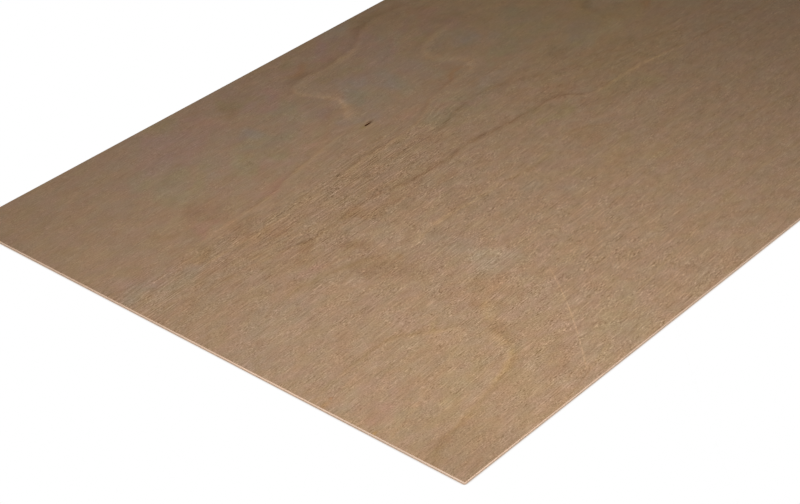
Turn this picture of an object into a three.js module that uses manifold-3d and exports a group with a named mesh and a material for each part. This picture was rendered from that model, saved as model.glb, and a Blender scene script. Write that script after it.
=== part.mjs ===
// Three-ply plywood sheet, 5.2 mm (nominal 1/4 in) x 4 ft x 8 ft, lying flat with its face veneer up.
// Millimetres. +X runs along the grain of the face, +Y across the sheet and +Z up.
// The origin is the middle of the underside.

import * as THREE from 'three';
import { mergeVertices } from 'three/addons/utils/BufferGeometryUtils.js';
import Module from 'manifold-3d';

// ---- Driving dimensions ----

// The trimmed sheet.
const sheetLength = 2438.4;
const sheetWidth = 1219.2;

// The lay-up: two thin long-grain veneers glued to a thick veneer whose grain runs across.
const faceThickness = 0.6;
const coreThickness = 4;
const backThickness = 0.6;

// An open grain pocket in the face, where a sliver of the veneer is missing.
const pocketFromEnd = 775.2;      // from the -X end of the sheet to the blunt end of the pocket
const pocketFromSide = 877.2;     // from the -Y side of the sheet to the blunt end of the pocket
const pocketLength = 24;
const pocketWidth = 5.6;
const pocketSlant = THREE.MathUtils.degToRad(6.5);   // off the grain, towards +Y
const pocketDepthInCore = 1.4;    // how far the hollow goes on below the veneer
const bluntness = 0.5;            // power of the outline's growth from its blunt end
const taper = 0.9;                // power of its fall to the pointed end

// How finely the pocket is divided, along its outline and around its hollow.
const pocketSteps = 20;
const hollowSides = 16;

// ---- Values that follow ----

const coreBottom = backThickness;
const faceBottom = coreBottom + coreThickness;
const pocketX = pocketFromEnd - sheetLength / 2;
const pocketY = pocketFromSide - sheetWidth / 2;

// ---- The pocket's outline ----

// Half the pocket's width at a share t of its length: round at t = 0 and pointed at t = 1.
function halfWidthAt(t) {
  const widest = bluntness / (bluntness + taper);
  const grown = (t / widest) ** bluntness;
  const fallen = ((1 - t) / (1 - widest)) ** taper;
  return (pocketWidth / 2) * grown * fallen;
}

// One flank of the outline, as (distance along, distance out) from the blunt end to the tip.
// The steps are shorter towards both ends, where the outline turns fastest.
function pocketFlank() {
  const flank = [];
  for (let step = 0; step <= pocketSteps; step += 1) {
    const t = (1 - Math.cos((Math.PI * step) / pocketSteps)) / 2;
    flank.push(new THREE.Vector2(pocketLength * t, halfWidthAt(t)));
  }
  return flank;
}

// The closed outline on the sheet: up one flank, and back along the other.
function pocketOutline() {
  const flank = pocketFlank();
  const otherFlank = flank.slice(1, -1).reverse().map((point) => new THREE.Vector2(point.x, -point.y));
  const blunt = new THREE.Vector2(pocketX, pocketY);
  const origin = new THREE.Vector2();
  return [...flank, ...otherFlank].map((point) => point.rotateAround(origin, pocketSlant).add(blunt));
}

// The hollow in the core: the same flank turned about the pocket's axis and flattened to its depth,
// so that its rim at the glue line is the veneer's own opening.
function pocketHollow() {
  const profile = pocketFlank().map((point) => new THREE.Vector2(point.y, point.x));
  const hollow = new THREE.LatheGeometry(profile, hollowSides);
  hollow.rotateZ(-Math.PI / 2);
  hollow.scale(1, 1, pocketDepthInCore / (pocketWidth / 2));
  hollow.rotateZ(pocketSlant);
  hollow.translate(pocketX, pocketY, faceBottom);
  return hollow;
}

// ---- Solids ----

const wasm = await Module();
wasm.setup();

// A closed geometry as a manifold solid. Triangles without area, as a lathe has at its poles, go.
function toSolid(geometry) {
  const bare = geometry.clone();
  bare.deleteAttribute('normal');
  bare.deleteAttribute('uv');
  const merged = mergeVertices(bare);
  const triangles = [];
  for (let first = 0; first < merged.index.count; first += 3) {
    const [a, b, c] = merged.index.array.slice(first, first + 3);
    if (a !== b && b !== c && c !== a) triangles.push(a, b, c);
  }
  return new wasm.Manifold(new wasm.Mesh({
    numProp: 3,
    vertProperties: new Float32Array(merged.attributes.position.array),
    triVerts: new Uint32Array(triangles),
  }));
}

function toGeometry(solid) {
  const mesh = solid.getMesh();
  const geometry = new THREE.BufferGeometry();
  geometry.setAttribute('position', new THREE.BufferAttribute(mesh.vertProperties, 3));
  geometry.setIndex(new THREE.BufferAttribute(mesh.triVerts, 1));
  geometry.computeVertexNormals();
  return geometry;
}

// A veneer is the sheet's rectangle with any openings, raised from its underside by its thickness.
function veneer(bottom, thickness, openings = []) {
  const rectangle = new THREE.Shape();
  rectangle.moveTo(-sheetLength / 2, -sheetWidth / 2);
  rectangle.lineTo(sheetLength / 2, -sheetWidth / 2);
  rectangle.lineTo(sheetLength / 2, sheetWidth / 2);
  rectangle.lineTo(-sheetLength / 2, sheetWidth / 2);
  rectangle.closePath();
  rectangle.holes = openings.map((outline) => new THREE.Path(outline));
  const geometry = new THREE.ExtrudeGeometry(rectangle, { depth: thickness, bevelEnabled: false });
  return geometry.translate(0, 0, bottom);
}

function hollowedCore() {
  const core = toSolid(veneer(coreBottom, coreThickness));
  return toGeometry(core.subtract(toSolid(pocketHollow())));
}

// ---- The sheet ----

const faceWood = new THREE.MeshStandardMaterial({ color: 0xab8d70, roughness: 0.62, metalness: 0 });
const coreWood = new THREE.MeshStandardMaterial({ color: 0xd6b894, roughness: 0.8, metalness: 0 });
const backWood = new THREE.MeshStandardMaterial({ color: 0xa98b6c, roughness: 0.7, metalness: 0 });

function named(name, geometry, material) {
  const mesh = new THREE.Mesh(geometry, material);
  mesh.name = name;
  return mesh;
}

const plywoodSheet = new THREE.Group();
plywoodSheet.name = 'plywood_sheet';
plywoodSheet.add(
  named('back_veneer', veneer(0, backThickness), backWood),
  named('core_veneer', hollowedCore(), coreWood),
  named('face_veneer', veneer(faceBottom, faceThickness, [pocketOutline()]), faceWood),
);

export default plywoodSheet;
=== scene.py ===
"""Looks of a three-ply plywood sheet, 8 ft by 4 ft, that lies flat on a pale floor.

Lengths are in metres where nothing else is said. x runs along the grain of the face, y across it
and z up from the floor.
"""

from functools import partialmethod
from math import cos, pi, radians, sin, sqrt

import bpy
import numpy as np
from mathutils import Matrix, Vector
from mathutils.geometry import tessellate_polygon


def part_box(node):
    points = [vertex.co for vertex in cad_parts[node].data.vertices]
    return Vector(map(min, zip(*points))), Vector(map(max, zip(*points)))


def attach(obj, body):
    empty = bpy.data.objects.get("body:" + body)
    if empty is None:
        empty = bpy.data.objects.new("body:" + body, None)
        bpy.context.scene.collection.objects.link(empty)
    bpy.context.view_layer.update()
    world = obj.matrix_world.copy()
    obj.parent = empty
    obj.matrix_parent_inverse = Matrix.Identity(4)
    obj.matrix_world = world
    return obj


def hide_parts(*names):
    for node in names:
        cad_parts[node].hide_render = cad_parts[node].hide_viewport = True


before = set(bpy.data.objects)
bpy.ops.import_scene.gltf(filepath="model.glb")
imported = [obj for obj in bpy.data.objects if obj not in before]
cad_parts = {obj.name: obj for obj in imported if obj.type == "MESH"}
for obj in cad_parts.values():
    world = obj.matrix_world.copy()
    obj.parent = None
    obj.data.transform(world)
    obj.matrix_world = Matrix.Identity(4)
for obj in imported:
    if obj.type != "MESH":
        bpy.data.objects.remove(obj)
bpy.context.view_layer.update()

# ---- the sheet, as the frame gives it
LOW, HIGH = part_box("back_veneer")[0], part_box("face_veneer")[1]
SIZE = np.array([HIGH.x - LOW.x, HIGH.y - LOW.y])
CORE_BOTTOM, CORE_TOP = (corner.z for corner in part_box("core_veneer"))
FACE_TOP = HIGH.z
NEAR_CORNER = np.array([LOW.x, LOW.y])

# ---- meshes
CELLS = (302, 150)
BORDER = 0.008
COLUMNS_PER_CELL = 4
CORE_ROWS = 5
HOLLOW_DEPTH = 0.0014
HOLLOW_ROUGHNESS = 0.25
HOLLOW_STEPS = 8
SLIT_TAPER = 0.9
SEED = 20
# What the saw left: how far points of the edge lie in at random, and how far it drifts in slowly.
FUZZ = 0.00004
CORE_FUZZ = 0.00008
ARRIS_FUZZ = 0.00006
DRIFT = 0.00012
DRIFT_WAVES = (6, 40)
# How far the arris is worn, inwards and then down or up.
FACE_ARRIS = (0.00008, 0.0001)
BACK_ARRIS = (0.0001, 0.00012)
GLUE_WANDER = 0.0002
GLUE_WAVES = (20, 260)
TINY = 1e-5

# ---- places in the bake map
MARGIN = 0.005
BAKE_ROWS = 8
BAKE_ROW_FILL = 0.9
EDGE_BAND = (0.03, 0.145)
CORE_BAND = (0.08, 0.99)
SLIT_BAND = (0.147, 0.152)
SLIT_BAND_LENGTH = 0.1
FACE_LOW = 0.155
HIDDEN_HIGH = 0.02
HOLLOW_LOW, HOLLOW_HIGH = (0.02, 0.03), (0.20, 0.07)

# ---- view and light
PHOTO_LENS = 98.08
CLIP_END = 200.0
CAMERA_FOOT = (-3.4068, -2.2921)
CAMERA_ABOVE_FACE = 2.2556
CAMERA_TILT = radians(56.748)
CAMERA_HEADING = radians(-50.248)
# Lamps: name, where each stands and aims (right of, ahead of and above the camera's foot), radius, watts.
LAMPS = [
    ("front", (0.0, -0.68, 0.45), (0.1, 2.9, 0.0), 0.35, 83.0),
    ("overhead", (0.24, 3.0, 1.55), (0.24, 3.01, 0.0), 0.5, 17.8),
]
AMBIENT = 0.3
FLOOR_GAP = 0.0005
FLOOR_SIZE = 80.0
FLOOR_GREY = 0.8
SHADE_REACH = 0.04
SHADE_SAMPLES = 16
SHADE_RAMP = (0.46, 0.79)
FLOOR_SHADE = (0.42, 0.30, 0.21)


def srgb(red, green, blue):
    """A colour given as it looks on screen, 0 to 255, as linear light."""
    shown = np.array([red, green, blue]) / 255.0
    linear = np.where(shown <= 0.04045, shown / 12.92, ((shown + 0.055) / 1.055) ** 2.4)
    return tuple(float(value) for value in linear)


# ==== node trees
class Value:
    """A number that a node tree works out at each place. Arithmetic on it adds nodes to the tree."""

    def __init__(self, tree, socket):
        self.tree = tree
        self.socket = socket

    def math(self, operation, *others):
        return self.tree.value("Math", enumerate((self, *others)), operation=operation)

    __add__ = partialmethod(math, "ADD")
    __sub__ = partialmethod(math, "SUBTRACT")
    __mul__ = partialmethod(math, "MULTIPLY")
    __truediv__ = partialmethod(math, "DIVIDE")
    __abs__ = partialmethod(math, "ABSOLUTE")

    def __neg__(self):
        return self * -1.0

    def __rsub__(self, other):
        return -self + other

    def ramp(self, low, high):
        """0 at low and 1 at high, with soft ends."""
        inputs = {"Value": self, "From Min": low, "From Max": high}
        return self.tree.value("MapRange", inputs, interpolation_type="SMOOTHSTEP")

    def bell(self, middle, width):
        """1 where the value is middle, falling to nothing over about two widths."""
        scaled = (self - middle) / width
        return (scaled * scaled * -1.0).math("EXPONENT")

    def off_round(self):
        """How far the value is from the nearest whole number."""
        return self - self.math("ROUND")


class Tree:
    """Short calls that build the node tree of a material or of the world."""

    def __init__(self, owner):
        owner.use_nodes = True
        self.tree = owner.node_tree
        self.tree.nodes.clear()

    def node(self, kind, inputs=(), **settings):
        """A new node. inputs pairs the name or number of a socket with what goes into it."""
        made = self.tree.nodes.new("ShaderNode" + kind)
        for key, value in settings.items():
            setattr(made, key, value)
        for key, value in dict(inputs).items():
            source = value.socket if isinstance(value, Value) else value
            if isinstance(source, bpy.types.NodeSocket):
                self.tree.links.new(source, made.inputs[key])
            else:
                made.inputs[key].default_value = source
        return made

    def value(self, kind, inputs=(), **settings):
        return Value(self, self.node(kind, inputs, **settings).outputs[0])

    def vector(self, operation, *parts):
        return self.node("VectorMath", enumerate(parts), operation=operation).outputs[0]

    def axes(self, vector):
        return [Value(self, part) for part in self.node("SeparateXYZ", {0: vector}).outputs]

    def join(self, *parts):
        return self.node("CombineXYZ", enumerate(parts)).outputs[0]

    def seen_by(self, first, *others):
        """1 for rays of these kinds, and 0 for all others."""
        path = self.node("LightPath").outputs
        seen = Value(self, path[first])
        for ray in others:
            seen = seen.math("MAXIMUM", path[ray])
        return seen

    def noise(self, point, spot, detail=2.0, roughness=0.5, offset=()):
        """Noise, 0 to 1, whose spots measure about spot. Axes that are left out get 1 m, and no offset."""
        scaled = self.vector("DIVIDE", point, (*spot, 1.0)[:3])
        moved = self.vector("ADD", scaled, (*offset, 0.0, 0.0, 0.0)[:3])
        inputs = {"Vector": moved, "Scale": 1.0, "Detail": detail, "Roughness": roughness}
        return self.value("TexNoise", inputs, noise_dimensions="3D")


class Wood(Tree):
    """A wood surface in the making, with the colour that it has so far."""

    def __init__(self, name, colour):
        self.material = bpy.data.materials.new(name)
        super().__init__(self.material)
        self.colour = colour
        self.point = self.node("TexCoord").outputs["Object"]
        self.x, self.y, self.z = self.axes(self.point)
        self.from_near_end = self.x - float(NEAR_CORNER[0])
        self.from_right_side = self.y - float(NEAR_CORNER[1])

    def stored(self, name, output="Fac"):
        """What paint_figure() stored on the mesh."""
        socket = self.node("Attribute", attribute_name=name).outputs[output]
        return Value(self, socket) if output == "Fac" else socket

    def turned(self, start, direction):
        """Each place as its distance from start along a direction, and to the left of it."""
        from_x = self.x - float(start[0])
        from_y = self.y - float(start[1])
        x, y = (float(part) for part in direction)
        return from_x * x + from_y * y, from_y * x - from_x * y

    def change(self, change, amount):
        """Multiplies the colour by 1 + change, where amount is 1."""
        factor = self.vector("MULTIPLY_ADD", change, amount, (1.0, 1.0, 1.0))
        self.colour = self.vector("MULTIPLY", self.colour, factor)

    def tint(self, amount, shade):
        """Multiplies the colour by shade, where amount is 1."""
        self.change(tuple(part - 1.0 for part in shade), amount)

    def vary(self, value, change):
        """Raises the colour by change where value is 1, and lowers it by that where value is 0."""
        self.change(change, value * 2.0 - 1.0)

    def fibres(self, shade, spot, low=0.3, detail=3.0):
        """Tints the wood by fibres of this size, and returns them."""
        noise = self.noise(self.point, spot, detail, 0.6)
        self.tint(noise.ramp(low, 0.7), shade)
        return noise

    def blotches(self, shade, spot, low, offset=()):
        self.tint(self.noise(self.point, spot, offset=offset).ramp(low, 0.7), shade)

    def finish(self, roughness, height, depth, specular=0.3):
        """Ends the tree in a dull, bare surface with bumps. Returns the material."""
        bump = self.node("Bump", {"Strength": 1.0, "Distance": depth, "Height": height})
        inputs = {"Base Color": self.colour, "Roughness": roughness, "Specular IOR Level": specular}
        shader = self.node("BsdfPrincipled", {**inputs, "Normal": bump.outputs[0]})
        self.node("OutputMaterial", {"Surface": shader.outputs[0]})
        return self.material


# ==== figure of the face
# Growth rings that the peeling knife cut through, each with its level. They are contours of one smooth
# height, so that they nest as real figure does. A point is (along, across) from the near corner, then how
# dark the line is, how pale the wood beside it is (on the lower side if negative), and its width. Lengths
# are in millimetres, and strengths in percent.
RINGS = [
    (1, [
        (80, 820, 30, 10, 4), (200, 828, 20, 20, 4), (300, 835, 0, 90, 4), (450, 846, 60, 70, 5),
        (520, 862, 50, 50, 5), (610, 878, 30, 110, 5), (700, 892, 10, 60, 5), (765, 892, 0, -50, 5),
        (774, 921, 0, 110, 7), (796, 949, 10, 150, 8), (815, 974, 10, 150, 8), (822, 1001, 0, 140, 8),
        (807, 1033, 0, 120, 7), (787, 1065, 0, 100, 6), (788, 1093, 30, 70, 6), (815, 1114, 80, 50, 10),
        (860, 1117, 90, 40, 12), (920, 1112, 70, 60, 11), (980, 1112, 35, 160, 8), (1030, 1125, 40, 110, 7),
        (1070, 1152, 70, 60, 8), (1110, 1173, 90, 40, 12), (1170, 1180, 70, 50, 12),
        (1240, 1168, 40, 60, 11), (1320, 1155, 40, 30, 9), (1480, 1165, 30, 20, 6),
    ]),
    (2, [
        (80, 762, 0, 40, 3), (240, 768, 10, -150, 3), (370, 769, 0, 100, 3), (500, 772, 0, -110, 3.5),
        (600, 788, 60, 90, 5), (690, 797, 60, 100, 5), (760, 796, 40, 140, 5), (830, 800, 10, 80, 6),
        (890, 817, 30, 40, 6), (950, 846, 45, 30, 8), (1010, 858, 45, 40, 8), (1070, 863, 30, 60, 8),
        (1114, 871, 10, 80, 9), (1136, 893, 0, 90, 11), (1121, 917, 0, 80, 13), (1096, 941, 0, 80, 13),
        (1090, 967, 0, 90, 12), (1107, 993, 10, 100, 11), (1150, 1015, 10, 100, 10),
        (1200, 1026, 20, 80, 9), (1260, 1030, 10, 70, 8), (1340, 1025, 0, 40, 8), (1400, 998, 0, 30, 8),
        (1450, 940, 10, 20, 8), (1485, 880, 10, 10, 8), (1520, 825, 10, 20, 8), (1600, 790, 30, 40, 8),
        (1720, 800, 30, 40, 6),
    ]),
    (3, [
        (60, 730, 0, 50, 4), (250, 736, 0, 50, 4), (360, 732, 60, 50, 4.5), (480, 737, 10, 35, 4),
        (620, 742, 20, 20, 3), (740, 750, 50, 10, 7), (800, 748, 50, 0, 7), (870, 749, 60, 0, 7),
        (940, 771, 80, 0, 9), (1030, 780, 55, 0, 11), (1100, 768, 50, 0, 11), (1160, 742, 45, 0, 11),
        (1230, 710, 40, 0, 10), (1310, 695, 30, 0, 9), (1420, 668, 30, 10, 6), (1520, 650, 20, 20, 5),
        (1700, 640, 30, 30, 4),
    ]),
    (4, [
        (0, 660, 20, 10, 6), (80, 693, 30, 0, 6), (170, 706, 60, 0, 5), (270, 700, 20, 60, 6),
        (330, 688, 40, 50, 6), (380, 674, 70, 30, 5), (460, 679, 70, 20, 5), (540, 686, 65, 20, 5),
        (610, 679, 85, 30, 5), (670, 666, 95, 30, 5.5), (740, 664, 100, 20, 6.5), (790, 662, 95, 20, 6.5),
        (840, 668, 90, 20, 6), (900, 667, 90, 10, 6), (960, 658, 95, 20, 7), (1040, 652, 95, 20, 7),
        (1120, 649, 90, 30, 6), (1155, 631, 85, 30, 5), (1180, 606, 70, 60, 5), (1220, 597, 40, 90, 5),
        (1300, 595, 10, 120, 5), (1380, 591, 0, 120, 5), (1520, 570, 20, 40, 4), (1750, 540, 40, 30, 4),
    ]),
    (5, [
        (0, 465, 20, 0, 9), (50, 503, 20, 0, 9), (100, 545, 20, -20, 8), (150, 573, 20, -30, 6),
        (210, 583, 40, -30, 5), (270, 579, 50, -30, 5), (330, 569, 50, 0, 6), (390, 551, 50, 30, 7),
        (450, 521, 20, 40, 7), (500, 511, 0, -110, 8), (550, 526, 0, -90, 6), (620, 527, 20, -120, 5),
        (700, 521, 0, -120, 5), (780, 520, 20, -50, 5), (860, 512, 60, -40, 5), (940, 517, 0, -60, 5),
        (990, 532, 0, 50, 4), (1030, 533, 30, 30, 5), (1080, 514, 45, 10, 6), (1130, 470, 0, 10, 6),
        (1220, 430, 10, 0, 5), (1400, 400, 20, 20, 4), (1650, 380, 30, 30, 4),
    ]),
    (6, [
        (0, 333, 20, 0, 7), (70, 345, 30, 10, 6), (150, 350, 50, 20, 6), (220, 353, 70, 40, 5),
        (262, 332, 60, 40, 6), (295, 308, 40, 70, 6), (325, 290, 30, 70, 6), (335, 272, 10, 50, 7),
        (310, 253, 0, 20, 7), (260, 235, 0, -40, 6), (170, 208, 20, 0, 6), (80, 180, 0, 40, 5),
        (0, 165, 0, 20, 5),
    ]),
    (6, [
        (1300, 300, 20, 20, 4), (1050, 325, 20, 20, 4), (850, 310, 10, 20, 5), (740, 300, 0, 0, 6),
        (640, 295, 0, 20, 5), (560, 300, 0, 10, 6), (480, 308, 0, 30, 8), (430, 295, 0, 90, 12),
        (390, 258, 10, 110, 12), (367, 219, 40, -120, 9), (355, 178, 55, -120, 9), (325, 146, 60, -120, 9),
        (270, 129, 70, -110, 7), (190, 114, 60, -60, 6), (110, 101, 60, -30, 6), (50, 94, 50, 0, 8),
        (0, 66, 50, 0, 9),
    ]),
]
# Heights between the rings, and past the part that the rings above cover, also in millimetres.
RING_SUPPORTS = [
    (100, 1150, 0.4), (350, 1100, 0.45), (600, 1150, 0.45), (600, 1000, 0.65), (300, 950, 0.7),
    (170, 645, 4.5), (40, 575, 4.55), (300, 635, 4.5), (950, 1190, 0.6), (950, 1000, 1.45),
    (1250, 940, 2.3), (1380, 800, 2.55), (1600, 1000, 1.75), (0, 260, 6.5), (180, 280, 6.4),
    (366, 272, 5.93), (200, 160, 5.9), (380, 350, 5.75), (200, 460, 5.45), (550, 150, 6.6), (350, 30, 6.9),
    (100, 20, 6.7), (900, 100, 7.2), (1300, 100, 7.3), (1900, 620, 3.6), (2100, 800, 2.6), (2430, 700, 3.2),
    (2100, 1050, 1.4), (2430, 1150, 1.2), (2100, 450, 4.6), (2430, 400, 5.3), (2100, 200, 6.2),
    (2430, 50, 7.2), (1800, 100, 7),
]
POINT_UNITS = (1000, 1000, 100, 100, 1)
RING_STEP = 0.02
RING_SMOOTHING = 2e-5
GRAIN_STRETCH = (0.7, 1.0)
LINE_REACH = 0.022
# Darkness, paleness and width of a line that no point is near, and how much it counts.
FAINT_LINE = np.array([0.25, 0.2, 3.0])
FAINT_SHARE = 0.1
SLOPE_STEP = 0.002
LEAST_SLOPE = 3.0
BATCH = 4000


def smooth_curve(points):
    """Points at about equal steps on the smooth curve through the given ones, with their other values."""
    padded = np.vstack([2 * points[0] - points[1], points, 2 * points[-1] - points[-2]])
    samples = []
    for before, first, second, after in zip(padded, padded[1:], padded[2:], padded[3:]):
        count = max(1, round(float(np.linalg.norm((second - first)[:2])) / RING_STEP))
        part = np.arange(count)[:, None] / count
        bend = 2 * before - 5 * first + 4 * second - after
        twist = 3 * (first - second) + after - before
        samples.append(first + 0.5 * part * ((second - before) + part * (bend + part * twist)))
    return np.vstack([*samples, points[-1]])


def thin_plate_kernel(from_points, to_points):
    gap = np.linalg.norm(from_points[:, None] - to_points[None], axis=2)
    return gap**2 * np.log(gap + 1e-9)


class Figure:
    """The height whose contours are the growth rings, and the strength of each line."""

    def __init__(self):
        curves = [smooth_curve(np.array(points) / POINT_UNITS) for _, points in RINGS]
        levels = [np.full(len(curve), float(level)) for curve, (level, _) in zip(curves, RINGS)]
        supports = np.array(RING_SUPPORTS) / (1000, 1000, 1)
        self.samples = np.vstack(curves)
        self.centres = np.vstack([self.samples[:, :2], supports[:, :2]]) * GRAIN_STRETCH
        self.weights = self.solve(np.concatenate([*levels, supports[:, 2]]))

    def solve(self, heights):
        count = len(self.centres)
        plane = np.column_stack([np.ones(count), self.centres])
        kernel = thin_plate_kernel(self.centres, self.centres) + RING_SMOOTHING * np.eye(count)
        system = np.block([[kernel, plane], [plane.T, np.zeros((3, 3))]])
        return np.linalg.solve(system, np.concatenate([heights, np.zeros(3)]))

    def height(self, places):
        stretched = places * GRAIN_STRETCH
        bent = thin_plate_kernel(stretched, self.centres) @ self.weights[:-3]
        return bent + self.weights[-3] + stretched @ self.weights[-2:]

    def slope(self, places):
        rises = [self.height(places + step) - self.height(places - step) for step in SLOPE_STEP * np.eye(2)]
        return np.maximum(np.hypot(*rises) / (2 * SLOPE_STEP), LEAST_SLOPE)

    def lines(self, places):
        """Darkness, paleness and width of the line at each place."""
        gap = np.linalg.norm(places[:, None] - self.samples[None, :, :2], axis=2)
        near = np.exp(-((gap / LINE_REACH) ** 2))
        total = near @ self.samples[:, 2:] + FAINT_SHARE * FAINT_LINE
        return total / (near.sum(1) + FAINT_SHARE)[:, None]

    def measure(self, places):
        """ring, slope and line values for many places, worked out in batches."""
        batches = np.array_split(places, len(places) // BATCH + 1)
        parts = [(self.height(batch), self.slope(batch), self.lines(batch)) for batch in batches]
        return np.vstack([np.column_stack(part) for part in parts])


# ---- cloudy patches of the face, and painted shade that darkens its far part
OLIVE = (0.96, 1.02, 0.92)
GREEN = (0.95, 1.03, 0.99)
PINK = (1.05, 0.96, 1.03)
BLUE = (0.94, 1.01, 1.12)
LAVENDER = (1.00, 0.97, 1.09)
DARK = (0.86, 0.84, 0.82)
RUST = (0.99, 0.89, 0.80)
PALE = (1.05, 1.08, 1.10)
COOL = (0.99, 1.00, 1.07)
WARM = (1.00, 1.00, 0.90)
SKY = (0.96, 1.06, 1.16)
TEAL = (0.90, 0.97, 0.99)
BROWN = (0.92, 0.85, 0.76)
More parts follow.
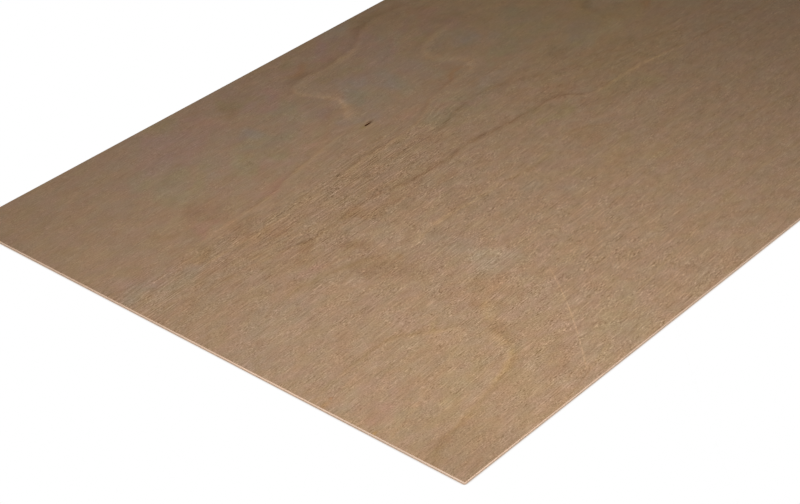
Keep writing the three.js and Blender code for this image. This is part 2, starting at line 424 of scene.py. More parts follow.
# Patches of each shade, which multiplies the wood's colour: (along, across) of the middle from the near
# corner and the reach along and across in millimetres, the strength in percent, and the turn in degrees.
CLOUDS = {
    OLIVE: [
        (500, 970, 45, 30, 50, 30), (525, 1155, 40, 30, 80), (880, 1190, 50, 22, 120),
        (655, 930, 40, 20, 60), (1060, 603, 60, 12, 100), (1250, 560, 70, 30, 70, -10),
        (655, 1155, 45, 35, 100), (510, 1200, 40, 20, 100), (370, 970, 60, 25, 100, 10),
        (540, 1010, 35, 30, 90, 30), (900, 1075, 50, 20, 60), (1145, 1035, 30, 12, 100, 10),
        (1300, 790, 80, 40, 50), (190, 170, 100, 30, 60, 5), (1900, 950, 200, 70, 80, 10),
    ],
    GREEN: [
        (715, 1015, 45, 35, 50, 45), (435, 1015, 45, 30, 50, 20), (1070, 1065, 50, 20, 80, 40),
        (930, 765, 60, 20, 80), (900, 1030, 30, 20, 80), (720, 1040, 30, 22, 100, 10),
        (510, 965, 55, 25, 80), (340, 990, 28, 26, 100), (1190, 870, 60, 15, 90, 5),
        (980, 785, 90, 25, 80, 5), (550, 60, 120, 50, 60, 20), (1070, 635, 45, 15, 100),
        (385, 1030, 50, 35, 100, 20), (460, 1020, 40, 30, 70), (620, 990, 35, 20, 100),
        (845, 955, 30, 30, 110, 50), (950, 925, 50, 20, 40, 30), (1330, 870, 80, 30, 70),
    ],
    PINK: [
        (990, 762, 30, 15, 90), (50, 215, 30, 15, 80), (300, 605, 50, 15, 90), (560, 1140, 60, 40, 80, 20),
        (760, 1115, 30, 30, 110, 45), (295, 865, 50, 15, 100), (490, 860, 50, 13, 100, 15),
        (570, 905, 50, 12, 90, 20), (640, 915, 40, 15, 80), (930, 1140, 50, 12, 90, -10),
        (860, 1170, 50, 30, 60), (870, 840, 40, 20, 60, 20), (1270, 1100, 30, 20, 80, 20),
        (2150, 400, 250, 70, 70, 5),
    ],
    BLUE: [
        (795, 900, 20, 15, 90), (1350, 935, 50, 30, 60), (845, 965, 25, 35, 90), (845, 915, 50, 15, 60, 20),
        (1100, 810, 70, 30, 70), (980, 785, 90, 25, 40, 5), (1210, 940, 30, 25, 90, 20),
        (800, 470, 50, 30, 60), (40, 470, 40, 40, 60), (600, 1035, 22, 35, 100, 20),
        (890, 1010, 30, 35, 70), (1210, 975, 50, 30, 100, 20), (1270, 920, 40, 20, 80),
        (1400, 790, 70, 40, 110, 10), (1545, 860, 30, 35, 50), (170, 530, 80, 30, 50, 10),
        (2250, 850, 150, 60, 70, 10),
    ],
    LAVENDER: [
        (760, 975, 25, 25, 80, 45), (1030, 1165, 50, 20, 70, 20), (1170, 1095, 50, 20, 80, 10),
        (700, 1160, 25, 20, 100), (90, 790, 50, 20, 60), (590, 975, 25, 20, 80), (970, 985, 40, 35, 60, 20),
        (80, 280, 50, 30, 60), (960, 1150, 40, 30, 90, 20), (1030, 1130, 40, 22, 80, 30),
        (1080, 1055, 30, 30, 50, 30), (430, 1150, 100, 50, 100, 30), (715, 1080, 40, 30, 100, 30),
        (990, 1190, 50, 25, 100, 30), (930, 1010, 30, 30, 90, 40), (1045, 1045, 60, 40, 70, 40),
        (1040, 970, 40, 30, 50, 45), (1210, 1070, 40, 30, 100, 30),
    ],
    DARK: [
        (725, 787, 20, 10, 60), (1200, 1155, 40, 18, 70), (90, 165, 50, 20, 40), (440, 640, 50, 30, 50),
        (1300, 770, 30, 20, 80), (1300, 1040, 30, 30, 70), (240, 825, 35, 25, 50), (615, 755, 35, 15, 80),
        # The patch at (0, 0) is painted shade, darkening the face towards the near corner tip where the
        # light falls off.
        (705, 522, 35, 10, 70), (0, 0, 140, 120, 70), (655, 1155, 45, 35, 35), (745, 980, 35, 40, 35, 60),
        (305, 905, 25, 40, 50), (1210, 1070, 40, 30, 30, 30), (1290, 960, 30, 20, 40),
        (1510, 830, 22, 35, 100), (380, 520, 25, 40, 40), (430, 460, 25, 40, 40),
        (1850, 300, 200, 50, 40, 5),
    ],
    RUST: [
        (710, 920, 50, 15, 40, 20), (320, 820, 25, 60, 50), (860, 1135, 60, 14, 100),
        (1160, 1195, 50, 12, 50, 10), (1250, 1140, 40, 12, 50), (1085, 905, 30, 20, 60, 40),
        (1045, 835, 25, 15, 70), (1080, 883, 40, 8, 100, 5), (1620, 750, 50, 20, 100),
        (360, 740, 25, 30, 40), (430, 340, 40, 30, 30), (1150, 660, 50, 30, 50), (1015, 505, 40, 30, 40),
        (2050, 650, 200, 50, 50),
    ],
    PALE: [
        (715, 1007, 50, 35, 40, 45), (507, 977, 45, 35, 35, 30), (355, 965, 35, 20, 40),
        (1130, 880, 50, 30, 25, 30), (550, 388, 40, 28, 50), (660, 663, 22, 10, 60), (60, 755, 50, 25, 60),
        (500, 680, 30, 12, 80), (520, 970, 20, 15, 100), (1140, 870, 40, 18, 40),
        (330, 565, 60, 10, 60, -15), (140, 530, 30, 20, 80), (740, 1000, 40, 30, 50, 30),
        (340, 990, 28, 26, 50), (970, 668, 70, 12, 50), (1430, 742, 70, 20, 100, 10),
        (1570, 790, 50, 25, 80, 15), (490, 595, 30, 45, 90), (535, 380, 45, 35, 70), (310, 275, 40, 15, 50),
        (1190, 510, 50, 30, 50),
    ],
    COOL: [
        (600, 1080, 400, 200, 100),
    ],
    WARM: [
        (1160, 1190, 50, 15, 80), (1350, 752, 30, 12, 100), (310, 318, 30, 12, 80), (980, 400, 80, 50, 60),
        (1350, 660, 200, 80, 90, -10), (1470, 750, 100, 40, 90, 10), (1045, 370, 30, 20, 100),
        (1510, 865, 40, 50, 90), (250, 310, 50, 35, 40), (660, 270, 80, 30, 20),
        (1060, 420, 60, 30, 60, 20), (150, 150, 250, 160, 40), (1650, 1000, 450, 300, 100),
    ],
    SKY: [
        (990, 1000, 100, 70, 30, 30), (610, 1045, 20, 30, 60), (1110, 1205, 60, 12, 80),
        (970, 965, 45, 75, 100), (1060, 940, 45, 45, 60, 40), (435, 980, 25, 18, 70),
        (1065, 1195, 50, 25, 90, 30), (1120, 1075, 40, 22, 70, 30), (70, 785, 50, 22, 70),
        (160, 770, 45, 22, 100), (545, 450, 45, 60, 50), (550, 385, 40, 40, 40), (60, 290, 50, 20, 50),
    ],
    TEAL: [
        (220, 235, 50, 15, 50), (1250, 850, 60, 30, 80), (1375, 950, 40, 30, 120, 10),
        (80, 165, 60, 22, 30),
    ],
    BROWN: [
        (600, 635, 90, 14, 45), (320, 860, 60, 20, 60), (220, 795, 30, 20, 80), (240, 870, 30, 20, 50),
        (310, 682, 30, 15, 50), (1220, 555, 60, 20, 50), (1100, 605, 20, 12, 60), (445, 505, 14, 16, 80),
        (705, 622, 40, 12, 50), (645, 1135, 26, 24, 90, 20), (330, 900, 45, 25, 60), (340, 805, 40, 20, 60),
        (570, 925, 45, 12, 50, 10), (780, 975, 12, 30, 50, -20), (340, 650, 80, 30, 70),
        (555, 645, 45, 15, 70), (610, 695, 40, 15, 40), (425, 595, 22, 22, 80), (400, 490, 30, 50, 60, 10),
        (380, 215, 20, 50, 50), (420, 290, 20, 20, 70), (90, 80, 80, 22, 50), (365, 80, 45, 30, 50),
        (1160, 580, 40, 15, 50),
    ],
}
# Painted shade: the face's colour darkens away from the near corner, level with the floor in the direction
# of the view, standing in for light that falls off.
PAINTED_FALLOFF_HEADING = (0.769, 0.639)
PAINTED_FALLOFF_START = 0.35
PAINTED_FALLOFF_END = 1.65
PAINTED_FALLOFF_COLOUR = (0.81, 0.80, 0.76)
WARP_LENGTHS = np.geomspace(0.035, 0.20, 7)
WARP_SHARE = 0.09


def warp(places):
    """The places, moved a little along smooth waves, so that the patches have ragged outlines."""
    random = np.random.default_rng(SEED + 2)
    moved = places.copy()
    for length in WARP_LENGTHS:
        heading = random.uniform(0, 2 * pi)
        phase = places @ (cos(heading), sin(heading)) * 2 * pi / length
        aim = random.uniform(0, 2 * pi)
        wave = WARP_SHARE * length * np.sin(phase + random.uniform(0, 2 * pi))
        moved += wave[:, None] * (cos(aim), sin(aim))
    return moved


def patch_amount(warped, along, across, reach_along, reach_across, strength, turn=0):
    """How much of a patch each place gets."""
    offset = warped - warp(np.array([[along, across]]) / 1000)
    turn = radians(turn)
    main = offset @ (cos(turn), sin(turn)) * 1000 / reach_along
    side = offset @ (-sin(turn), cos(turn)) * 1000 / reach_across
    return strength / 100 * np.exp(-((main**2 + side**2) ** 2))


def cloud_and_painted_shade_colours(places):
    """What the patches, and the painted shade that darkens the far part of the face, multiply the wood's
    colour by at each place.
    """
    colours = np.ones((len(places), 3))
    warped = warp(places)
    for shade, patches in CLOUDS.items():
        for patch in patches:
            colours *= 1 + patch_amount(warped, *patch)[:, None] * (np.array(shade) - 1)
    # Painted shade: darker towards the far part of the face, where the light falls off.
    away = np.clip((places @ PAINTED_FALLOFF_HEADING - PAINTED_FALLOFF_START) / (PAINTED_FALLOFF_END - PAINTED_FALLOFF_START), 0, 1)
    return colours * (1 + away[:, None] * (np.array(PAINTED_FALLOFF_COLOUR) - 1))


# ==== outline of the sheet
class Rim:
    """The sawn outline, as columns of points all the way round, counter-clockwise from the near corner."""

    def __init__(self):
        self.side_counts = [(cells + 2) * COLUMNS_PER_CELL for cells in CELLS * 2]
        self.side_starts = np.cumsum([0] + self.side_counts)
        self.sides = np.repeat(range(4), self.side_counts)
        self.count = len(self.sides)
        self.base, self.inward = self.lay_out()
        self.random = np.random.default_rng(SEED)
        self.drift = self.waves(DRIFT, *DRIFT_WAVES)

    def lay_out(self):
        """The points of the straight outline, and the way inwards from each."""
        corners = np.array([(-1, -1), (1, -1), (1, 1), (-1, 1)]) * SIZE / 2
        sides = zip(corners, np.roll(corners, -1, axis=0) - corners, self.side_counts)
        base = [start + run * np.arange(count)[:, None] / count for start, run, count in sides]
        inward = np.repeat([(0.0, 1.0), (-1.0, 0.0), (0.0, -1.0), (1.0, 0.0)], self.side_counts, axis=0)
        for start in self.side_starts[:-1]:
            inward[start] += inward[start - 1]
        return np.vstack(base), inward

    def waves(self, size, least, most):
        """A smooth value round the rim, from 0 to size, of waves that fit it a whole number of times."""
        turn = np.linspace(0, 2 * pi, self.count, endpoint=False)
        total = np.zeros(self.count)
        for wave in self.random.integers(least, most, 12):
            total += sqrt(1.0 / wave) * np.sin(wave * turn + self.random.uniform(0, 2 * pi))
        total -= total.min()
        return size * total / total.max()

    def ring(self, height, inset, fuzz):
        """One ring of points at a height, which may be one value for each column."""
        depth = inset + self.drift + fuzz * self.random.random(self.count)
        flat = self.base + self.inward * depth[:, None]
        return np.column_stack([flat, np.broadcast_to(height, self.count)])

    def glue_height(self, level):
        """The height of a glue line round the rim, which wanders a little."""
        return level + self.waves(GLUE_WANDER, *GLUE_WAVES) - GLUE_WANDER / 2


# The grid inside the border, in plan, row by row.
GRID_X, GRID_Y = (
    np.linspace(BORDER - size / 2, size / 2 - BORDER, count + 1) for size, count in zip(SIZE, CELLS)
)
GRID = np.array([[(x, y) for x in GRID_X] for y in GRID_Y])


def loop_round(grid):
    """The outer points of a grid, counter-clockwise from the near corner."""
    return np.concatenate([grid[0, :-1], grid[:-1, -1], grid[-1, :0:-1], grid[:0:-1, 0]])


def at_height(plan, height):
    return [(x, y, height) for x, y in plan]


# ==== meshes
def add_object(name, data):
    added = bpy.data.objects.new(name, data)
    bpy.context.scene.collection.objects.link(added)
    return added


class Patch:
    """A rectangle of the bake map, onto which a rectangle of the sheet round its middle is laid."""

    def __init__(self, low, high, size=SIZE, middle=(0.0, 0.0)):
        self.low, self.high = np.array(low), np.array(high)
        self.size = size
        self.corner = middle - size / 2

    def at(self, point):
        return tuple(self.low + (self.high - self.low) * ((point[:2] - self.corner) / self.size))


HIDDEN_PATCH = Patch((MARGIN, MARGIN), (1 - MARGIN, HIDDEN_HIGH))
FACE_PATCH = Patch((MARGIN, FACE_LOW), (1 - MARGIN, 1 - MARGIN))


class Draft:
    """Points and faces gathered before the mesh is made. Each face has a material and its bake places."""

    def __init__(self, rim):
        self.rim = rim
        self.points, self.faces, self.kinds, self.bake = [], [], [], []

    def add(self, points):
        first = len(self.points)
        self.points.extend(map(tuple, points))
        return np.arange(first, len(self.points))

    def face(self, corners, kind, bake):
        self.faces.append([int(corner) for corner in corners])
        self.kinds.append(kind)
        self.bake.extend(bake)

    def flat_face(self, corners, kind, patch, flip=False):
        """A face whose bake place is its place in plan, within a patch of the bake map."""
        corners = corners[::-1] if flip else corners
        self.face(corners, kind, [patch.at(self.points[int(corner)]) for corner in corners])

    def ring(self, *shape):
        return self.add(self.rim.ring(*shape))

    def wall(self, rings, kinds, low, high):
        """Joins rings of the rim, lowest first, into the sawn side. It takes a band of the bake map."""
        count = self.rim.count
        per_row = count // BAKE_ROWS
        row_height = (high - low) / BAKE_ROWS
        heights = row_height * BAKE_ROW_FILL * np.linspace(0, 1, len(rings))
        for column in range(count):
            after = (column + 1) % count
            kind = kinds[self.rim.sides[column] % 2]
            left = MARGIN + (1 - 2 * MARGIN) * (column % per_row) / per_row
            right = left + (1 - 2 * MARGIN) / per_row
            bottom = low + row_height * (column // per_row)
            for lower, upper, v_low, v_high in zip(rings, rings[1:], bottom + heights, bottom + heights[1:]):
                corners = (lower[column], lower[after], upper[after], upper[column])
                self.face(corners, kind, [(left, v_low), (right, v_low), (right, v_high), (left, v_high)])

    def border(self, outer, inner, kind, patch, flip):
        """Flat faces between the sawn outline and the inner line."""
        step = COLUMNS_PER_CELL
        first = 0
        for start, count in zip(self.rim.side_starts, CELLS * 2):
            around = range(start - step, start + step + 1)
            self.flat_face([*np.take(outer, around, mode="wrap"), inner[first]], kind, patch, flip)
            for cell in range(first, first + count):
                start += step
                line = [inner[(cell + 1) % len(inner)], inner[cell]]
                self.flat_face([*outer[start : start + step + 1], *line], kind, patch, flip)
            first += count

    def fill(self, outlines, kind, patch, flip):
        """Fills the flat area inside the first outline and outside the others."""
        places = [[Vector(self.points[corner]) for corner in outline] for outline in outlines]
        flat = np.concatenate(outlines)
        for triangle in tessellate_polygon(places):
            corners = flat[list(triangle)]
            ground = np.array([self.points[corner][:2] for corner in corners])
            faces_up = np.linalg.det(ground[1:] - ground[0]) > 0
            self.flat_face(corners, kind, patch, flip=faces_up == flip)

    def flat_side(self, outer, height, kind, patch, flip, *holes):
        """The whole flat top or bottom of a ply, inside a ring of the rim."""
        line = self.add(at_height(loop_round(GRID), height))
        self.border(outer, line, kind, patch, flip)
        self.fill([line, *holes], kind, patch, flip)

    def build(self, name, materials):
        mesh = bpy.data.meshes.new(name)
        mesh.from_pydata(self.points, [], self.faces)
        for material in materials:
            mesh.materials.append(material)
        mesh.polygons.foreach_set("material_index", self.kinds)
        layer = mesh.uv_layers.new(name="OFBake")
        layer.data.foreach_set("uv", np.array(self.bake, np.float32).ravel())
        mesh.update()
        return add_object(name, mesh)


# ---- the open slit in the face
class Slit:
    """The slit's outline and axis, read from the CAD face veneer."""

    def __init__(self):
        plan = self.rim_points()
        gaps = np.linalg.norm(plan[:, None] - plan[None], axis=2)
        ends = plan[list(np.unravel_index(np.argmax(gaps), gaps.shape))]
        self.start, self.end = ends[np.argsort(ends[:, 0])]
        self.length = float(np.linalg.norm(self.end - self.start))
        self.along = (self.end - self.start) / self.length
        self.across = np.array([-self.along[1], self.along[0]])
        self.centre = (self.start + self.end) / 2
        flank = plan[(plan - self.start) @ self.across > TINY] - self.start
        places, widths = flank @ self.along, flank @ self.across
        order = np.argsort(places)
        self.places = np.concatenate([[0], places[order], [self.length]])
        self.widths = np.concatenate([[0], widths[order], [0]])

    def rim_points(self):
        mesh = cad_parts["face_veneer"].data
        corners = {tuple(round(value, 7) for value in vertex.co) for vertex in mesh.vertices}
        plan = np.array([corner[:2] for corner in corners if corner[2] > CORE_TOP + TINY])
        return plan[np.all(np.abs(plan) < SIZE / 2 - BORDER, axis=1)]

    def point(self, place, offset):
        return self.start + self.along * place + self.across * offset

    def loop(self, height, share):
        """The slit's outline, counter-clockwise, at a height, with its width scaled."""
        lower, upper = (
            [self.point(place, side * width * share) for place, width in zip(self.places, self.widths)]
            for side in (-1, 1)
        )
        return at_height(lower + upper[-2:0:-1], height)


# ==== materials
FACE_COLOUR = srgb(174, 142, 112)
CORE_COLOUR = srgb(241, 212, 188)
EDGE_COLOUR = srgb(196, 156, 122)
BACK_COLOUR = srgb(166, 137, 110)
# Resin in the hollow under the slit, darkened further as painted shade.
SLIT_RESIN_AND_SHADE_COLOUR = srgb(84, 46, 12)
FIBRE_SLANT = 0.05
# How far noise moves the ring lines, in gentle bends and in single fibres, and how far they lean over.
RING_WAVER = 0.010
RING_FRAY = 0.013
LEAN = 0.3
RING_DARK = (0.78, 0.73, 0.67)
RING_OLIVE = (1.01, 1.05, 0.94)
RING_PALE = (1.19, 1.20, 1.16)
RING_YELLOW = (0.99, 0.985, 0.95)
RING_HALO = (0.99, 0.975, 0.955)
FINE_RINGS = 5.0
FINE_RING_DARK = (0.94, 0.90, 0.86)
FINE_RING_PALE = (1.13, 1.13, 1.11)
# Noises that make up the grain: length and width of a spot, and how far it lightens or darkens.
FINE_GRAIN = [(0.0028, 0.0030, 0.170), (0.0055, 0.0046, 0.025), (0.011, 0.0036, 0.015)]
BROAD_GRAIN = [
    (0.014, 0.0060, 0.016), (0.070, 0.0050, 0.020), (0.018, 0.010, 0.032), (0.034, 0.018, 0.028),
]
# Thin strokes along the grain: length and width, and how pale and how dark they are.
SHORT_STROKE = (0.0095, 0.0024, 0.38, 0.28)
LONG_STROKE = (0.045, 0.0024, 0.40, 0.32)
GRAIN_HUE = (0.88, 1.00, 1.22)
BAND_CHANGE = (0.055, 0.065, 0.075)
# Small patches of pinker and greener, greyer, and paler and darker wood: spot, offset, ramp and change.
MOTTLES = [
    ((0.06, 0.04), (1.0, 7.0, 3.0), (0.38, 0.62), (0.014, -0.015, 0.000)),
    ((0.07, 0.045), (9.0, 2.0, 6.0), (0.38, 0.62), (-0.010, 0.000, 0.040)),
    ((0.06, 0.03), (2.0, 2.0, 7.0), (0.34, 0.66), (0.028, 0.034, 0.045)),
]
# Orange smudges by the near end: (along, across) from the near corner, reach each way, and shade.
SMUDGES = [
    (0.004, 0.196, 0.008, 0.0035, (1.02, 0.92, 0.62)),
    (0.006, 0.312, 0.014, 0.0060, (0.96, 0.88, 0.74)),
    (0.030, 0.316, 0.004, 0.0025, (0.98, 0.82, 0.68)),
]
SCRATCH_START = NEAR_CORNER + (0.360, 0.013)
SCRATCH_END = NEAR_CORNER + (0.599, 0.274)
SCRATCH_BOW = 0.042
SCRATCH_WIDTH = 0.0016
SCRATCH_SHADE = (1.27, 1.27, 1.25)
# Stain, tail and paler wood round the slit: (along, to the left) of its middle, reach each way, and shade.
SLIT_SPOTS = [
    (0.0, 0.0, 0.016, 0.0055, (0.86, 0.80, 0.72)),
    (0.0055, 0.0, 0.0075, 0.0032, (0.20, 0.12, 0.04)),
    (0.018, 0.0005, 0.010, 0.0016, (0.88, 0.82, 0.74)),
    (-0.018, 0.0, 0.008, 0.005, (1.00, 1.02, 0.84)),
    (0.008, 0.0075, 0.008, 0.003, (1.20, 1.15, 1.13)),
    (0.0, -0.008, 0.014, 0.004, (1.14, 1.11, 1.08)),
]
GLUE_WIDTH = 0.00022
GLUE_SHADE = (0.52, 0.42, 0.34)
# Painted shade of the core's lower part, next to the floor.
LOW_CORE_PAINTED_SHADE = (0.90, 0.86, 0.83)
# Painted shade of the core's ends near the near corner.
CORNER_PAINTED_SHADE = (0.88, 0.91, 0.94)


def ring_distance(wood, point, count):
    """Metres from the nearest of count lines for each ring, frayed along the grain. 0 on the line."""
    distance = (wood.stored("ring") * count).off_round() / (wood.stored("slope") * count)
    waver = wood.noise(point, (0.03, 0.012), 3.0, 0.6) - 0.5
    fray = wood.noise(point, (0.030, 0.0014), 1.0) - 0.5
    return waver * RING_WAVER + distance + fray * RING_FRAY


def leaning(value, lean):
    """value, drawn out where it and lean have the same sign and pressed together where they differ."""
    return abs(value) * lean * -LEAN + value


def ring_lines(wood, point):
    """The drawn growth rings: a dark line, soft on one side, and the pale wood that it meets sharply."""
    dark, pale, width = wood.axes(wood.stored("line", "Vector"))
    across = ring_distance(wood, point, 1.0) / (width * 0.001)
    patchy = wood.noise(point, (0.05, 0.012), offset=(3.0, 1.0)).ramp(0.25, 0.6) * 0.6 + 0.4
    lean = wood.value("Clamp", {"Value": pale * 3.0, "Min": -1.0})
    shift = lean * (dark * 1.1 + 0.1)
    core = leaning(across, -lean).bell(0.0, 1.0) * (dark * patchy)
    beside = leaning(across - shift, lean).bell(0.0, 0.9) * (abs(pale) * patchy)
    wood.tint(across.bell(0.0, 2.4) * (dark * patchy), RING_HALO)
    wood.tint(core, RING_DARK)
    wood.tint(core * wood.stored("ring").ramp(4.3, 4.8), RING_OLIVE)
    wood.tint(beside * wood.stored("ring").ramp(5.2, 5.7), RING_YELLOW)
    wood.tint(beside, RING_PALE)


def fine_rings(wood, point):
    """Faint rings between the drawn ones, clearer where they crowd together, the pale ones in dashes."""
    distance = ring_distance(wood, point, FINE_RINGS)
    crowded = wood.stored("slope").ramp(6.0, 14.0) * 0.7 + 0.4
    strength = wood.noise(point, (0.16, 0.02), offset=(0.0, 5.0)).ramp(0.35, 0.65) * crowded
    dashes = wood.noise(point, (0.010, 0.003), 1.0, offset=(2.0, 8.0)).ramp(0.40, 0.60) * 0.9 + 0.4
    wood.tint(distance.bell(-0.0005, 0.0018) * strength, FINE_RING_DARK)
    wood.tint(distance.bell(0.0028, 0.0015) * (strength * dashes), FINE_RING_PALE)


def streaks(wood, point, layers, shift):
    """The sum of several noises, each 0 on average and as strong as its layer says."""
    total = 0.0
    for index, (length, width, strength) in enumerate(layers):
        offset = (7.3 * index + shift, 3.1 * index, 1.0 * index)
        value = wood.noise(point, (length, width), 0.0, offset=offset).ramp(0.3, 0.7)
        total = value * (2 * strength) - strength + total
    return total


def strokes(wood, point, kind, cover):
    """Thin pale and dark lines along the grain, well apart. A higher cover gives more of them."""
    length, width, pale, dark = kind
    value = wood.noise(point, (length, width), 0.0, offset=(length * 900.0, 6.0, 2.0))
    return (value + cover).ramp(0.64, 0.80) * pale - (value - cover).ramp(0.36, 0.20) * dark


def grain(wood, point, clear, crisp, lined):
    """Specks, streaks and strokes along the grain. The last three values are 0 to 1."""
    patches = wood.noise(point, (0.06, 0.025), 2.0, 0.6, (5.0, 2.0)).ramp(0.35, 0.65)
    strength = (patches * 0.5 + 0.75) * (crisp * 0.62 + 0.40)
    cover = patches * 0.12 - 0.06
    fine = streaks(wood, point, FINE_GRAIN, 0.0) + strokes(wood, point, SHORT_STROKE, cover)
    fine = (fine + strokes(wood, point, LONG_STROKE, lined * 0.05 - cover)) * strength
    broad = streaks(wood, point, BROAD_GRAIN, 2.0) * (clear * 0.5 + 0.5)
    wood.change(GRAIN_HUE, fine + broad)
    return fine


def mottle(wood):
    for spot, offset, ramp, change in MOTTLES:
        wood.vary(wood.noise(wood.point, spot, 4.0, 0.65, offset).ramp(*ramp), change)


def band(wood):
    """0 to 1, and 1 where the rings run straight and close."""
    return wood.stored("ring").bell(2.3, 1.3) * wood.from_near_end.ramp(1.1, 0.7)


def streak_band(wood, point, lined):
    """Long thin streaks, side by side, in the band."""
    streak = wood.noise(point, (0.11, 0.0032), 2.0, 0.6, (6.0, 1.0, 4.0)).ramp(0.33, 0.67)
    wood.change(BAND_CHANGE, (streak * 2.0 - 1.0) * lined)


def clearness(wood):
    """How clear the streaks are, 0 to 1, and how clear the fibres are, which are faint far off too."""
    waver = wood.noise(wood.point, (0.08, 0.04), offset=(0.0, 0.0, 5.0)) - 0.5
    calm = wood.from_near_end * -1.5 + wood.stored("ring") + waver
    clear = calm.ramp(0.3, 1.2) * (wood.from_near_end.ramp(0.0, 0.7) * 0.6 + 0.4)
    return clear, clear * (wood.from_near_end.ramp(1.0, 0.7) * 0.8 + 0.2)


def face_material(slit):
    """Rotary-cut veneer: cloudy tan wood with figure, fine pores and the marks the sheet carries, with
    painted shade darkening its far part and its near corner.
    """
    wood = Wood("face_veneer_wood", FACE_COLOUR)
    # The stored colours are the cloudy patches and the painted shade of the far part.
    wood.colour = wood.vector("MULTIPLY", wood.stored("clouds_and_painted_shade", "Color"), FACE_COLOUR)
    patches = wood.noise(wood.point, (0.22, 0.08), offset=(2.0, 3.0))
    wood.vary(patches.ramp(0.3, 0.7), (0.02, 0.02, 0.025))
    mottle(wood)
    # The fibres lie a little askew to the sides.
    point = wood.join(wood.x, wood.y - wood.x * FIBRE_SLANT, wood.z)
    lined = band(wood)
    streak_band(wood, point, lined)
    fibres = grain(wood, point, *clearness(wood), lined)
    ring_lines(wood, point)
    fine_rings(wood, point)
    spots(wood, wood.from_near_end, wood.from_right_side, SMUDGES)
    scratch(wood)
    spots(wood, *wood.turned(slit.centre, slit.along), SLIT_SPOTS)
    return wood.finish(fibres * 0.5 + 0.62, fibres, 0.0001)


def spots(wood, along, across, rows):
    """Tints of small spots, with a place and a reach for each of the two values."""
    for place, side, reach, side_reach, shade in rows:
        wood.tint(along.bell(place, reach) * across.bell(side, side_reach), shade)


def scratch(wood):
    """A pale, slightly curved and broken scuff near the right side."""
    run = SCRATCH_END - SCRATCH_START
    size = float(np.linalg.norm(run))
    along, off = wood.turned(SCRATCH_START, run / size)
    share = along / size
    line = (share * (1.0 - share) * SCRATCH_BOW + off).bell(0.0, SCRATCH_WIDTH)
    broken = wood.noise(wood.point, (0.018, 0.010), 1.0).ramp(0.32, 0.50) * 0.6 + 0.4
    wood.tint(line * broken * (share.ramp(0.0, 0.12) * share.ramp(1.0, 0.9)), SCRATCH_SHADE)


def veneer_edge_material():
    """The sawn edge of a thin veneer."""
    wood = Wood("veneer_edge_wood", EDGE_COLOUR)
    fibres = wood.fibres((0.78, 0.74, 0.70), (0.006, 0.006, 0.0003))
    wood.blotches((0.88, 0.86, 0.84), (0.03, 0.03), 0.4)
    return wood.finish(0.7, fibres, 0.0001)


def painted_shade_and_glue_lines(wood):
    """Painted shade makes the lower part of the core browner, where the floor shades it, and thin dark
    joints lie where it meets the veneers.
    """
    # Painted shade: browner towards the bottom of the core.
    wood.tint(wood.z.ramp(0.0030, 0.0014), LOW_CORE_PAINTED_SHADE)
    lower = wood.z.bell(CORE_BOTTOM, GLUE_WIDTH)
    upper = wood.z.bell(CORE_TOP, GLUE_WIDTH)
    wood.tint(lower.math("MAXIMUM", upper), GLUE_SHADE)


def core_long_grain_material():
    """The core as the ends show it, cut along its own grain."""
    wood = Wood("core_long_grain_wood", CORE_COLOUR)
    fibres = wood.fibres((0.90, 0.88, 0.85), (1.0, 0.025, 0.0005))
    wood.blotches((0.96, 0.94, 0.92), (1.0, 0.05, 0.01), 0.45, (0.0, 4.0))
    # Painted shade: darker and cooler towards the near corner, where the light falls off.
    wood.tint(wood.from_right_side.ramp(0.40, 0.20), CORNER_PAINTED_SHADE)
    painted_shade_and_glue_lines(wood)
    return wood.finish(0.7, fibres, 0.00012)


def core_end_grain_material():
    """The core as the long sides show it, cut across its own grain, with pores and slanting checks."""
    wood = Wood("core_end_grain_wood", CORE_COLOUR)
    pores = wood.fibres((0.90, 0.88, 0.86), (0.0009, 1.0, 0.0012), 0.35, 2.0)
    slanted = wood.join(wood.z * 0.8 + wood.x, wood.y, wood.z * 0.15)
    checks = wood.noise(slanted, (0.0016, 1.0, 0.002), offset=(5.0,)).ramp(0.62, 0.7)
    wood.tint(checks, (0.76, 0.69, 0.62))
    wood.blotches((0.93, 0.90, 0.86), (0.05, 1.0, 0.01), 0.45, (0.0, 4.0))
    painted_shade_and_glue_lines(wood)
    return wood.finish(0.75, pores - checks, 0.00015)


def core_face_material():
    """The core's own flat sides, which the veneers cover."""
    wood = Wood("core_face_wood", CORE_COLOUR)
    return wood.finish(0.7, wood.fibres((0.85, 0.80, 0.74), (0.0015, 0.03)), 0.0001)


def hollow_material():
    """The hollow under the slit: dark resinous wood, whose colour is darkened further as painted shade."""
    wood = Wood("slit_hollow_wood", SLIT_RESIN_AND_SHADE_COLOUR)
    return wood.finish(0.75, wood.fibres((0.70, 0.64, 0.56), (0.004, 0.0006, 0.0006)), 0.0002, 0.1)


def back_material():
    """The plainer veneer underneath."""
    wood = Wood("back_veneer_wood", BACK_COLOUR)
    mottle(wood)
    fibres = grain(wood, wood.point, 0.7, 0.7, 0.3)
    rings = wood.noise(wood.point, (0.9, 0.22), offset=(8.0, 2.0)) * 9.0 + wood.y * 6.0
    wood.tint(rings.off_round().bell(0.0, 0.05), (0.86, 0.82, 0.78))
    wood.blotches((0.90, 0.89, 0.87), (0.30, 0.10), 0.35, (6.0, 1.0))
    return wood.finish(0.65, fibres, 0.0004)


# ==== plies
def build_back(rim, glue):
    draft = Draft(rim)
    inset, rise = BACK_ARRIS
    rings = [draft.ring(0.0, inset, ARRIS_FUZZ), draft.ring(rise, 0.0, FUZZ), draft.ring(glue, 0.0, FUZZ)]
    draft.wall(rings, (1, 1), *EDGE_BAND)
    draft.flat_side(rings[0], 0.0, 0, FACE_PATCH, True)
    draft.flat_side(rings[-1], CORE_BOTTOM, 1, HIDDEN_PATCH, False)
    return draft.build("back_sheet", [back_material(), veneer_edge_material()])


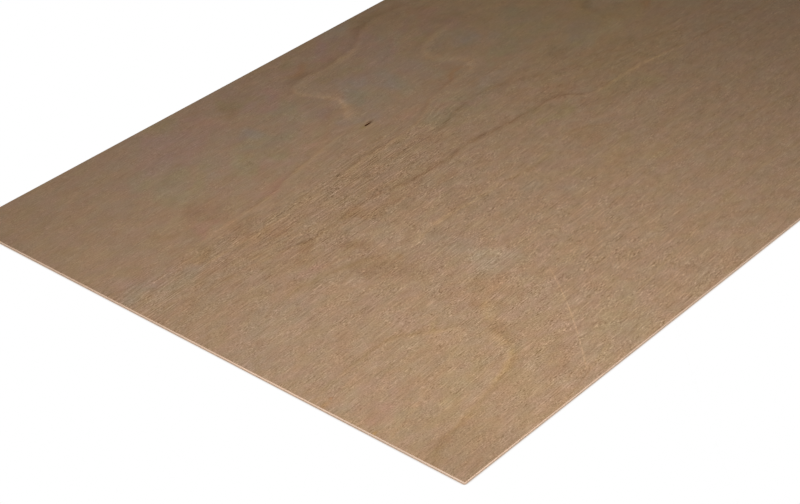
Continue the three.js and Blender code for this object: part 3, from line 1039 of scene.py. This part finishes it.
def build_core(rim, slit, lower_glue, upper_glue):
    draft = Draft(rim)
    heights = [lower_glue + (upper_glue - lower_glue) * share for share in np.linspace(0, 1, CORE_ROWS + 1)]
    rings = [draft.ring(height, 0.0, CORE_FUZZ) for height in heights]
    draft.wall(rings, (1, 0), *CORE_BAND)
    draft.flat_side(rings[0], CORE_BOTTOM, 2, HIDDEN_PATCH, True)
    draft.flat_side(rings[-1], CORE_TOP, 2, HIDDEN_PATCH, False, hollow(draft, slit))
    sides = [core_long_grain_material(), core_end_grain_material()]
    return draft.build("core_sheet", sides + [core_face_material(), hollow_material()])


def hollow(draft, slit):
    """The dish in the core under the slit. Returns its brim, counter-clockwise."""
    random = np.random.default_rng(SEED + 1)
    patch = Patch(HOLLOW_LOW, HOLLOW_HIGH, np.full(2, slit.length), slit.centre)
    shares = np.linspace(-1, 1, 2 * HOLLOW_STEPS + 1)
    lines = []
    for place, width in zip(slit.places[1:-1], slit.widths[1:-1]):
        depths = HOLLOW_DEPTH * width / max(slit.widths) * np.sqrt(1 - shares * shares)
        rough = depths * HOLLOW_ROUGHNESS * (random.random(len(shares)) - 0.5)
        plan = [slit.point(place, width * share) for share in shares]
        lines.append(draft.add(np.column_stack([plan, CORE_TOP - depths + rough])))
    start, end = draft.add(at_height([slit.start, slit.end], CORE_TOP))
    for line, after in zip(lines, lines[1:]):
        for corners in zip(line, after, after[1:], line[1:]):
            draft.flat_face(corners, 3, patch)
    for tip, line in ((start, lines[0]), (end, lines[-1][::-1])):
        for corners in zip(line, line[1:]):
            draft.flat_face((tip, *corners), 3, patch)
    lower = [line[0] for line in lines]
    upper = [line[-1] for line in reversed(lines)]
    return np.array([start, *lower, end, *upper])


def build_face(rim, slit, glue, figure):
    draft = Draft(rim)
    inset, drop = FACE_ARRIS
    rings = [draft.ring(glue, 0.0, FUZZ), draft.ring(FACE_TOP - drop, 0.0, FUZZ)]
    rings.append(draft.ring(FACE_TOP, inset, ARRIS_FUZZ))
    draft.wall(rings, (1, 1), *EDGE_BAND)
    grid = draft.add(at_height(GRID.reshape(-1, 2), FACE_TOP)).reshape(GRID.shape[:2])
    draft.border(rings[-1], loop_round(grid), 0, FACE_PATCH, False)
    mouth = draft.add(slit.loop(FACE_TOP, 1.0))
    floor_loop = draft.add(slit.loop(CORE_TOP, SLIT_TAPER))
    add_cells(draft, grid, slit, mouth)
    draft.flat_side(rings[0], CORE_TOP, 1, HIDDEN_PATCH, True, floor_loop)
    slit_walls(draft, mouth, floor_loop)
    piece = draft.build("face_sheet", [face_material(slit), veneer_edge_material()])
    paint_figure(piece, figure)
    return piece


def add_cells(draft, grid, slit, mouth):
    """The flat cells of the face. A window round the slit is left out of them and filled round its mouth."""
    south, north = np.searchsorted(GRID_Y, slit.centre[1] + np.array([-BORDER, BORDER])) + (-2, 1)
    west, east = np.searchsorted(GRID_X, [slit.start[0], slit.end[0]]) + (-2, 1)
    whole = np.ones(CELLS[::-1], bool)
    whole[south:north, west:east] = False
    for row, column in np.argwhere(whole):
        draft.flat_face(loop_round(grid[row : row + 2, column : column + 2]), 0, FACE_PATCH)
    window = loop_round(grid[south : north + 1, west : east + 1])
    draft.fill([window, mouth], 0, FACE_PATCH, False)


def slit_walls(draft, mouth, floor_loop):
    low, high = SLIT_BAND
    places = MARGIN + SLIT_BAND_LENGTH * np.linspace(0, 1, len(mouth) + 1)
    sides = zip(mouth, np.roll(mouth, -1), np.roll(floor_loop, -1), floor_loop)
    for corners, left, right in zip(sides, places, places[1:]):
        draft.face(corners, 1, [(left, high), (right, high), (right, low), (left, low)])


def paint_figure(piece, figure):
    """Stores the figure, and the patches with the painted shade, on the mesh's points."""
    mesh = piece.data
    places = np.array([vertex.co[:2] for vertex in mesh.vertices]) - NEAR_CORNER
    ring, slope, *line = figure.measure(places).T
    colours = np.column_stack([cloud_and_painted_shade_colours(places), np.ones(len(places))])
    for name, kind, key, data in (
        ("ring", "FLOAT", "value", ring),
        ("slope", "FLOAT", "value", slope),
        ("line", "FLOAT_VECTOR", "vector", np.column_stack(line)),
        ("clouds_and_painted_shade", "FLOAT_COLOR", "color", colours),
    ):
        mesh.attributes.new(name, kind, "POINT").data.foreach_set(key, data.ravel())


# ==== floor, light and camera
def floor_material():
    """Pale floor. Seen by the camera it is white, and darker and warmer where the sheet shades it."""
    material = bpy.data.materials.new("pale_floor")
    tree = Tree(material)
    plain = tree.node("BsdfDiffuse", {"Color": (FLOOR_GREY, FLOOR_GREY, FLOOR_GREY, 1.0)})
    shade = tree.node("AmbientOcclusion", {"Distance": SHADE_REACH}, samples=SHADE_SAMPLES)
    share = Value(tree, shade.outputs["AO"]).ramp(*SHADE_RAMP)
    # 6 and 7 are the mix node's two colours, and 2 is the mixed one.
    colours = {"Factor": share, 6: (*FLOOR_SHADE, 1.0), 7: (1.0, 1.0, 1.0, 1.0)}
    bright = tree.node("Mix", colours, data_type="RGBA").outputs[2]
    glow = tree.node("Emission", {"Color": bright})
    seen = tree.seen_by("Is Camera Ray", "Is Glossy Ray", "Is Transmission Ray")
    mix = tree.node("MixShader", enumerate((seen, plain.outputs[0], glow.outputs[0])))
    tree.node("OutputMaterial", {"Surface": mix.outputs[0]})
    return material


def build_floor():
    half = FLOOR_SIZE / 2
    mesh = bpy.data.meshes.new("floor")
    corners = [(-half, -half, 0), (half, -half, 0), (half, half, 0), (-half, half, 0)]
    mesh.from_pydata(corners, [], [range(4)])
    mesh.materials.append(floor_material())
    floor = add_object("floor", mesh)
    floor.location = (0, 0, -FLOOR_GAP)


def light_world():
    """An even, dim light from all round, which the camera sees as white."""
    world = bpy.data.worlds.new("studio")
    bpy.context.scene.world = world
    tree = Tree(world)
    seen = tree.seen_by("Is Camera Ray", "Is Transmission Ray")
    strength = tree.value("MapRange", {"Value": seen, "To Min": AMBIENT, "To Max": 1.0})
    background = tree.node("Background", {"Strength": strength})
    tree.node("OutputWorld", {"Surface": background.outputs[0]})


def from_foot(*place):
    """A place given to the right of, ahead of and above the camera's foot."""
    return Matrix.Rotation(CAMERA_HEADING, 3, "Z") @ Vector(place) + Vector((*CAMERA_FOOT, 0.0))


def add_lamp(name, place, target, radius, power):
    data = bpy.data.lights.new(name, "AREA")
    data.shape = "DISK"
    data.size = 2 * radius
    data.energy = power
    lamp = add_object(name, data)
    lamp.location = place
    lamp.rotation_euler = (target - place).to_track_quat("-Z", "Y").to_euler()


def add_camera():
    data = bpy.data.cameras.new("camera")
    data.lens = PHOTO_LENS
    data.clip_end = CLIP_END
    camera = add_object("camera", data)
    camera.location = (*CAMERA_FOOT, FACE_TOP + CAMERA_ABOVE_FACE)
    camera.rotation_euler = (CAMERA_TILT, 0, CAMERA_HEADING)
    bpy.context.scene.camera = camera


# ==== the scene
def dress(piece, node):
    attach(piece, "root")
    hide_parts(node)


def main():
    rim = Rim()
    slit = Slit()
    lower_glue = rim.glue_height(CORE_BOTTOM)
    upper_glue = rim.glue_height(CORE_TOP)
    dress(build_back(rim, lower_glue), "back_veneer")
    dress(build_core(rim, slit, lower_glue, upper_glue), "core_veneer")
    dress(build_face(rim, slit, upper_glue, Figure()), "face_veneer")
    build_floor()
    light_world()
    for name, place, target, radius, power in LAMPS:
        add_lamp(name, from_foot(*place), from_foot(*target), radius, power)
    add_camera()
    bpy.context.scene.view_settings.view_transform = "Standard"


main()
